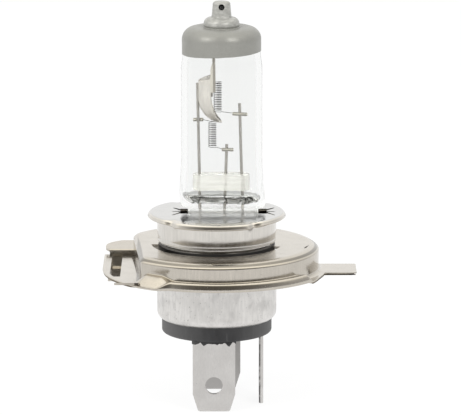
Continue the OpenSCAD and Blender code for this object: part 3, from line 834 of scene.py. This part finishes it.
# ------------------------------------------------------------- clamps and posts
def build_clamps():
    """Crimped sleeves across the posts, each squeezed in the middle."""
    bars = {"common": (-4.5, -2.5, 0.565, 28.5, 0.0),
            "dipped": (2.95, 5.75, -0.565, 29.75, -0.12),
            "main": (0.95, 3.15, -0.565, 22.95, -0.03)}
    for name, (left, right, y, z, tip) in bars.items():
        path = [(lerp(left, right, t), y, z + tip * (t - 0.5)) for t in spread(0, 1, 24)]
        obj = tube(name + "_sleeve", path, squeezed, 20)
        bevel(obj, 0.04, 50)
        piece(obj, MATERIALS["clamp_metal"], "clamp_metal", name + "_clamp")


def squeezed(share):
    """Radius along a crimped sleeve."""
    return 0.34 - 0.05 * math.exp(-((share - 0.5) / 0.16) ** 2) - (0.05 if share in (0, 1) else 0.0)


# ------------------------------------------------------------------ holder cup
def sector(angle, start, end, blend):
    """1 between two angles in degrees, with a smooth step at each end."""
    middle, half = (start + end) / 2, (end - start) / 2
    return 1 - smooth(half - blend, half + blend, abs(angle_between(angle, middle)))


def rim_shape(angle, r, z):
    """The rim is pressed down over its front and back, and creased where that starts and ends."""
    if r < RIM_R - 2.4 or z < CUP_TOP - HEM - 0.4:
        return r, z
    edge = smooth(RIM_R - 2.4, RIM_R - 0.5, r)
    pressed = sector(angle, -130, -59, 5) + sector(angle, 50, 125, 5)
    low = smooth(CUP_TOP - 0.4, CUP_TOP - HEM, z)
    z += (0.36 * (1 - pressed) * low - 0.2 * pressed * (1 - low)) * edge
    crease = sum(math.exp(-(angle_between(angle, a) / 4.5) ** 2) for a in (-133, -56, 47, 128))
    return r - 0.55 * crease * edge, z - 0.22 * crease * edge


def build_cup():
    """The cup: flat top with a pressed rim, wall, foot and spigot, cut by the pinch's slot."""
    outline = [(r, CUP_TOP) for r in (0.3, 4, 8, 10.4, 11.2, 11.8)]
    outline += arc(RIM_R - 0.74, CUP_TOP - 0.62, 0.62, 86, 22, 12)
    outline += arc(RIM_R - 0.33, CUP_TOP - HEM + 0.33, 0.33, 22, -90, 10)
    outline += [(CUP_R + 0.12, CUP_TOP - HEM), (CUP_R, CUP_TOP - HEM - 0.14), (CUP_R - 0.03, 9.3)]
    outline += [(CUP_R - 0.04, 8.3), (CUP_R - 0.05, 7.8), (CUP_R - 0.07, 7.4), (CUP_R - 0.1, 7.0)]
    outline += [(CUP_R - 0.14, 6.6), (CUP_R - 0.18, 6.25)]
    outline += arc(CUP_R - 0.45, CUP_FOOT + 0.6, 0.35, 30, -90, 12)
    outline += [(SPIGOT_R, CUP_FOOT + 0.2), (SPIGOT_R, CUP_LOW.z)]
    inside = [(SPIGOT_R - SHEET, CUP_LOW.z), (SPIGOT_R - SHEET, CUP_FOOT + SHEET + 0.2),
              (CUP_R - 0.8, CUP_FOOT + 1.4), (CUP_R - 0.5, CUP_TOP - 2 * SHEET),
              (CUP_R - 0.9, CUP_TOP - SHEET), (8, CUP_TOP - SHEET), (0.3, CUP_TOP - SHEET)]
    obj = lathe("cup", outline + inside, 0.0, 300, rim_shape)
    low, high = CUP_TOP - 2 * SHEET - 0.2, CUP_TOP + 0.5
    slot_x, slot_y = SLOT_HALF
    corners = [(SLOT_X + sx * slot_x, sy * slot_y) for sx, sy in ((-1, -1), (1, -1), (1, 1), (-1, 1))]
    cutters = [prism("slot", corners, low, high)]
    for side in (-1, 1):
        for turn, reach in ((-58, 2.9), (-8, 1.7), (54, 2.5)):
            a = math.radians(90 - side * (90 - turn))
            along, across = Vector((math.cos(a), math.sin(a))), Vector((-math.sin(a), math.cos(a)))
            root = Vector((SLOT_X + side * slot_x, 0.6 * slot_y * turn / 58))
            corners = [root - 0.4 * along - 0.4 * across, root + 0.85 * reach * along - 0.2 * across,
                       root + reach * along, root + 0.85 * reach * along + 0.2 * across,
                       root - 0.4 * along + 0.4 * across]
            cutters.append(prism("slit", [tuple(c) for c in corners], low, high))
    cut(obj, cutters)
    return piece(obj, MATERIALS["cup_steel"], "cup_steel", "holder_cup")


# -------------------------------------------------------------- prefocus ring
def skirt_radius(angle):
    """The skirt is round but for one flat."""
    toward = math.cos(math.radians(angle - FLAT_ANGLE))
    return soft_min(SKIRT_R, FLAT_DIST / toward, 0.9) if toward > 0.5 else SKIRT_R


def lip_radius(angle):
    """The lip narrows beside the wide lug and stops where the back lug is stepped up."""
    turn = angle_between(angle, 0)
    if turn < 0:
        return lerp(20.8, LIP_R, smooth(18, 38, -turn)) + 0.75 * leaf_weight(angle)
    r = lerp(20.0, LIP_R, smooth(32, 42, turn))
    if turn < 100:
        return r
    a = math.radians(turn)
    shelf = min(STEP_Y / max(math.sin(a), 0.01), -LIP_R / math.cos(a))
    return lerp(r, max(19.75, shelf), smooth(114, 119, turn))


def edge_radius(angle):
    """Radius of the lip's edge, with the wide lug."""
    away = math.radians(abs(angle_between(angle, 0)))
    r = lip_radius(angle)
    if away < math.radians(25):
        side = LUG_HALF / max(math.sin(away), 1e-4)
        r = soft_max(r, soft_min(side, LUG_R / math.cos(away), 0.5), 0.08)
    return r


def bead_weight(angle):
    """1 where the lip carries its rolled bead."""
    away = abs(angle_between(angle, 0))
    end = BEAD_BACK if angle_between(angle, 0) > 0 else BEAD_FRONT
    return smooth(BEAD_FROM - 3, BEAD_FROM + 3, away) * (1 - smooth(end - 4, end + 4, away))


def leaf_weight(angle):
    """1 where the lip is pressed down into a leaf."""
    return sector(angle, -135, -BEAD_FRONT, 4.5)


def ring_profile(angle):
    """The ring's upper face at one angle, from the neck out to the edge."""
    bead, leaf = bead_weight(angle), leaf_weight(angle)
    skirt, edge = skirt_radius(angle), edge_radius(angle)

    def blended(flat_value, bead_value, leaf_value):
        """The value for a plain, beaded or leafed lip, mixed by the weights here."""
        return flat_value + (bead_value - flat_value) * bead + (leaf_value - flat_value) * leaf

    root = blended(0.0, 1.3, 2.1)
    rim = blended(0.0, 1.56, 0.35)
    bulge = blended(0.0, 0.04, 0.2)
    room = edge - skirt
    fillet = min(blended(0.8, 0.22, 0.25), 0.5 * room)
    roll = min(blended(0.1, 0.6, 0.2), 0.3 * room)
    foot = blended(-0.14, 0.02, -0.1)
    face_turn, face = math.radians(blended(0, 20, 0)), blended(0.02, 0.55, 0.02)
    roll_r = edge - face * math.tan(face_turn) - roll * math.cos(face_turn)
    face_foot = rim - roll + roll * math.sin(face_turn) - face
    turn = math.radians(SHOULDER_TURN)
    reach, drop = ((PLATE_ROUND - SHOULDER) * k for k in (math.cos(turn), math.sin(turn)))
    centre_r, centre_z = skirt - SHOULDER - reach, PLATE_Z - PLATE_ROUND
    profile = [(r, PLATE_Z) for r in spread(NECK_R, centre_r, 8)]
    profile += arc(centre_r, centre_z, PLATE_ROUND, 90, SHOULDER_TURN, 10)[1:]
    profile += arc(centre_r + reach, centre_z + drop, SHOULDER, SHOULDER_TURN, 0, 5)[1:]
    profile += [(skirt, z) for z in spread(centre_z + drop, root + fillet, 4)[1:]]
    profile += arc(skirt + fillet, root + fillet, fillet, 180, 270, 6)[1:]
    for t in spread(0, 1, 10)[1:]:
        profile.append((lerp(skirt + fillet, roll_r, t),
                        lerp(root, rim, t) + bulge * math.sin(math.pi * min(t * 1.1, 1))))
    profile += arc(roll_r, rim - roll, roll, 90, math.degrees(face_turn), 8)[1:]
    return profile + [(edge, z) for z in spread(face_foot, foot, 2)]


def build_ring():
    """Plate, skirt, lip and wide lug as one sheet, with the tongue and the two side lugs."""
    count = 900
    rings = []
    for j in range(count):
        angle = 360 * j / count
        a = math.radians(angle)
        rings.append([(r * math.cos(a), r * math.sin(a), z) for r, z in ring_profile(angle)])
    cols = len(rings[0])
    obj = sheet("ring", [p for ring in rings for p in ring],
                grid_faces(count, cols, closed_rows=True, closed_cols=False))
    thicken(obj, RING_T)
    window = ring_sector(NECK_R - 1, WINDOW_R, WINDOW_FROM, WINDOW_TO)
    cut(obj, [prism("window", window, PLATE_Z - 2, PLATE_Z + 1),
              prism("slot", slot_outline(), -1.5, 1.0),
              prism("nick", nick_outline(), PLATE_Z - 2, PLATE_Z + 1)])
    obj = join("ring_cap", [obj, tongue(), back_lug(), front_lug()])
    return piece(obj, MATERIALS["ring_steel"], "ring_steel", "prefocus_ring")


def ring_sector(inner, outer, start, end):
    """Outline of a part of a flat ring."""
    return [(r * math.cos(math.radians(a)), r * math.sin(math.radians(a)))
            for r, angles in ((outer, spread(start, end, 60)), (inner, spread(end, start, 60)))
            for a in angles]


def slot_outline():
    """The slot in the flat's shelf, with a curved outer side."""
    near, far, inner, outer = -7.4, STEP_Y - 0.3, -18.1, 20.1
    return [(inner, near), (inner, far)] + [(-min(outer, math.sqrt(20.7 ** 2 - min(y, 0) ** 2)), y)
                                            for y in spread(far, near, 24)]


def nick_outline():
    """A short pry mark on the shoulder of the plate, near the wide lug."""
    centre = Vector((16.9, -3.2))
    along, across = Vector((0.3, 0.95)) * 1.7, Vector((0.95, -0.3)) * 0.2
    return [tuple(centre + p) for p in (-along, -along * 0.3 + across, along, -along * 0.2 - across)]


def tongue():
    """The folded spring tab under the slot: down, a short shelf, and down again."""
    section = [(STEP_Y - 0.3, -0.45), (STEP_Y - 0.9, -2.1), (STEP_Y - 1.3, -2.3), (8.4, -2.35),
               (8.0, -2.5), (7.4, -2.9), (6.0, -2.6), (3.5, -1.0), (-6.5, -0.75), (-7.5, -0.45)]
    rows = []
    for y, z in section:
        rows.append([(TAB_OUT, y, z), (TAB_IN, y, z),
                     (TAB_IN, y + 0.05, z - 0.4), (TAB_OUT, y + 0.05, z - 0.4)])
    return make_object("tongue", *skin(rows), sharp=20)


def back_lug():
    """Side lug behind the flat: up by a step, then out with round corners."""
    def left(y):
        if y < 14.2:
            return -21.4 + 0.9 * ((14.2 - y) / 1.8) ** 2
        return -21.4 + 3.6 * ((y - 14.2) / 4.6) ** 3

    def right(y):
        return -math.sqrt(19.0 ** 2 - y * y) if y < 14.6 else -12.2 - (y - 14.6) * 0.95

    levels = [(STEP_Y - 0.06, -0.1), (STEP_Y - 0.04, 0.5), (STEP_Y, 0.78), (STEP_Y + 0.15, 0.9)]
    levels += [(y, 0.92 + 0.09 * (y - STEP_Y)) for y in spread(STEP_Y + 0.5, 18.6, 16)]
    cols = 24
    grid = [(lerp(left(max(y, STEP_Y)), right(max(y, STEP_Y)), j / cols), y, z)
            for y, z in levels for j in range(cols + 1)]
    obj = sheet("back_lug", grid, grid_faces(len(levels), cols + 1, closed_cols=False))
    return thicken(obj, 0.45)


def front_lug():
    """Side lug in front of the flat, bent up and nearly edge-on from the front."""
    cols = 20
    ys = spread(FRONT_LUG_ROOT, FRONT_LUG_END, 18)
    grid = []
    for y in ys[::-1]:
        left = -min(18.9, math.sqrt(26.1 ** 2 - y * y)) + 0.5 * smooth(-15.0, FRONT_LUG_ROOT, y)
        for j in range(cols + 1):
            rise = math.tan(LUG_TILT) * (FRONT_LUG_ROOT - y)
            grid.append((lerp(left, -14.3, j / cols), y, 0.2 + rise))
    obj = sheet("front_lug", grid, grid_faces(len(ys), cols + 1, closed_cols=False))
    return thicken(obj, 0.4)


# ------------------------------------------------------------------- insulator
def build_flash():
    """Torn moulding flash that creeps down the front blade from the insulator."""
    y = box("main_blade")[0].y - 0.04
    left, right = box("main_blade")[0].x, box("main_blade")[1].x
    top = box("insulator")[0].z + 0.35
    count = 26
    lower, upper = [], []
    for i in range(count + 1):
        t = i / count
        x = lerp(left - 0.15, right + 0.15, t)
        coarse = noise.noise(Vector((x * 1.1, 2.0, 5.0)))
        drop = 0.55 + 0.55 * coarse + 0.3 * noise.noise(Vector((x * 3.5, 7.0, 1.0)))
        lower.append((x, y, top - 0.35 - max(drop, 0.08)))
        upper.append((x, y, top))
    front = lower + upper[::-1]
    back = [(x, y + 0.25, z) for x, y, z in front]
    n = len(front)
    faces = [[i, i + 1, n - 2 - i, n - 1 - i] for i in range(count)]
    faces += [[n + k for k in face[::-1]] for face in faces]
    faces += [[i, n + i, n + (i + 1) % n, (i + 1) % n] for i in range(n)]
    obj = make_object("moulding_flash", front + back, faces)
    piece(obj, MATERIALS["black_insulator"], "black_insulator")


# ------------------------------------------------------------------ the studio
FLOOR_SIZE = 3.0
FLOOR_GLOW, FLOOR_MATT = 0.9, 0.1


def build_floor(z):
    """A plain white floor, mostly lit by itself so that it stays even."""
    mesh = bpy.data.meshes.new("floor")
    corners = [(x * FLOOR_SIZE, y * FLOOR_SIZE, z) for x, y in ((-1, -1), (1, -1), (1, 1), (-1, 1))]
    mesh.from_pydata(corners, [], [[0, 1, 2, 3]])
    obj = bpy.data.objects.new("floor", mesh)
    bpy.context.scene.collection.objects.link(obj)
    material = bpy.data.materials.new("floor_white")
    material.use_nodes = True
    tree = material.node_tree
    tree.nodes.clear()
    output = tree.nodes.new("ShaderNodeOutputMaterial")
    glow = tree.nodes.new("ShaderNodeEmission")
    glow.inputs["Strength"].default_value = FLOOR_GLOW
    matt = tree.nodes.new("ShaderNodeBsdfDiffuse")
    matt.inputs["Color"].default_value = (FLOOR_MATT, FLOOR_MATT, FLOOR_MATT, 1)
    add = tree.nodes.new("ShaderNodeAddShader")
    tree.links.new(glow.outputs[0], add.inputs[0])
    tree.links.new(matt.outputs[0], add.inputs[1])
    tree.links.new(add.outputs[0], output.inputs[0])
    mesh.materials.append(material)


# what mirrors see: share of the way from the front horizon over the top to the back, colour
STUDIO = ((0.0, (0.2, 0.19, 0.17)), (0.03, (0.12, 0.11, 0.1)), (0.22, (0.15, 0.14, 0.12)),
          (0.3, (0.55, 0.52, 0.46)), (0.4, (1.65, 1.6, 1.45)), (0.62, (1.65, 1.6, 1.48)),
          (0.76, (1.25, 1.23, 1.18)), (1.0, (1.08, 1.08, 1.08)))
LEFT_END, RIGHT_END = (0.85, 0.84, 0.82, 1), (0.5, 0.49, 0.48, 1)
WHITER_IN_GLASS = 0.85


def build_world():
    """White all round, and for mirrored rays a studio, which is whiter for rays in glass."""
    world = bpy.data.worlds.new("studio")
    bpy.context.scene.world = world
    world.use_nodes = True
    tree = world.node_tree
    tree.nodes.clear()

    def node(kind, **values):
        made = tree.nodes.new(kind)
        for key, value in values.items():
            setattr(made, key, value)
        return made

    def math_node(operation, a, b=None):
        made = node("ShaderNodeMath", operation=operation)
        for socket, value in ((made.inputs[0], a), (made.inputs[1], b)):
            if value is None:
                continue
            if isinstance(value, bpy.types.NodeSocket):
                tree.links.new(value, socket)
            else:
                socket.default_value = value
        return made.outputs[0]

    where = node("ShaderNodeTexCoord").outputs["Generated"]
    parts = node("ShaderNodeSeparateXYZ")
    tree.links.new(where, parts.inputs[0])
    over = math_node("ARCTAN2", parts.outputs["Z"], math_node("MULTIPLY", parts.outputs["Y"], -1.0))
    over = math_node("DIVIDE", over, math.pi)
    ramp = node("ShaderNodeValToRGB")
    tree.links.new(over, ramp.inputs[0])
    elements = ramp.color_ramp.elements
    while len(elements) < len(STUDIO):
        elements.new(0.5)
    for element, (position, colour) in zip(elements, STUDIO):
        element.position = position
        element.color = (*colour, 1)
    side = math_node("POWER", math_node("ABSOLUTE", parts.outputs["X"]), 3.0)
    ends = node("ShaderNodeMix", data_type="RGBA")
    tree.links.new(math_node("GREATER_THAN", parts.outputs["X"], 0.0), ends.inputs[0])
    ends.inputs[6].default_value = LEFT_END
    ends.inputs[7].default_value = RIGHT_END
    sides = node("ShaderNodeMix", data_type="RGBA")
    tree.links.new(side, sides.inputs[0])
    tree.links.new(ramp.outputs[0], sides.inputs[6])
    tree.links.new(ends.outputs[2], sides.inputs[7])
    path = node("ShaderNodeLightPath")
    chosen = node("ShaderNodeMix", data_type="RGBA")
    inside_glass = math_node("MINIMUM", path.outputs["Transmission Depth"], 1.0)
    shown = math_node("SUBTRACT", 1.0, math_node("MULTIPLY", inside_glass, WHITER_IN_GLASS))
    tree.links.new(math_node("MULTIPLY", path.outputs["Is Glossy Ray"], shown), chosen.inputs[0])
    chosen.inputs[6].default_value = (1, 1, 1, 1)
    tree.links.new(sides.outputs[2], chosen.inputs[7])
    background = node("ShaderNodeBackground")
    tree.links.new(chosen.outputs[2], background.inputs["Color"])
    output = node("ShaderNodeOutputWorld")
    tree.links.new(background.outputs[0], output.inputs[0])


def area_light(name, azimuth, width, power):
    """A softbox aimed at the bulb. Azimuth 0 is the camera's side, 90 is +X."""
    data = bpy.data.lights.new(name, "AREA")
    data.shape = "RECTANGLE"
    data.size, data.size_y = width, LAMP_HEIGHT
    data.energy = power
    data.color = LAMP_COLOUR
    lamp = bpy.data.objects.new(name, data)
    bpy.context.scene.collection.objects.link(lamp)
    a, e = math.radians(azimuth), math.radians(LAMP_ELEVATION)
    back = Vector((math.sin(a) * math.cos(e), -math.cos(a) * math.cos(e), math.sin(e)))
    lamp.location = LAMP_TARGET + back * LAMP_DISTANCE
    lamp.rotation_mode = "QUATERNION"
    lamp.rotation_quaternion = (-back).to_track_quat("-Z", "Y")
    return lamp


LAMP_TARGET, LAMP_COLOUR = Vector((0, 0, 0.015)), (1.0, 0.985, 0.95)
LAMP_ELEVATION, LAMP_DISTANCE, LAMP_HEIGHT = 36, 0.6, 0.3
LAMPS = (("key_left", -50, 0.22, 1.65), ("key_right", 34, 0.2, 1.45))  # azimuth, width, watts


def build_lights(spared):
    """Two softboxes that leave out the bright steel pieces, which would mirror them."""
    group = bpy.data.collections.new("spared_by_lamps")
    for obj in spared:
        group.objects.link(obj)
    for item in group.collection_objects:
        item.light_linking.link_state = "EXCLUDE"
    for name, azimuth, width, power in LAMPS:
        lamp = area_light(name, azimuth, width, power)
        lamp.light_linking.receiver_collection = group


CAMERA_ELEVATION = 11.5
CAMERA_DISTANCE = 750
CAMERA_TARGET = Vector((2.604, 0, 11.7))
CAMERA_LENS = 310.4


def build_camera():
    """The photo's view: far off, a little from above."""
    data = bpy.data.cameras.new("camera")
    data.sensor_width = 36
    data.lens = CAMERA_LENS
    data.clip_start, data.clip_end = 0.01, 20
    camera = bpy.data.objects.new("camera", data)
    bpy.context.scene.collection.objects.link(camera)
    e = math.radians(CAMERA_ELEVATION)
    back = Vector((0, -math.cos(e), math.sin(e)))
    camera.location = (CAMERA_TARGET + back * CAMERA_DISTANCE) * MM
    camera.rotation_mode = "QUATERNION"
    camera.rotation_quaternion = (-back).to_track_quat("-Z", "Y")
    bpy.context.scene.camera = camera


# ----------------------------------------------------------------------- build
dress_cad_nodes()
build_glass()
build_coating()
build_filaments()
build_shield()
build_coil_strip()
build_clamps()
cup = build_cup()
ring = build_ring()
build_flash()
build_floor(cad_box[0].z)
build_world()
build_lights((cup, ring))
build_camera()
bpy.context.scene.view_settings.view_transform = "Standard"
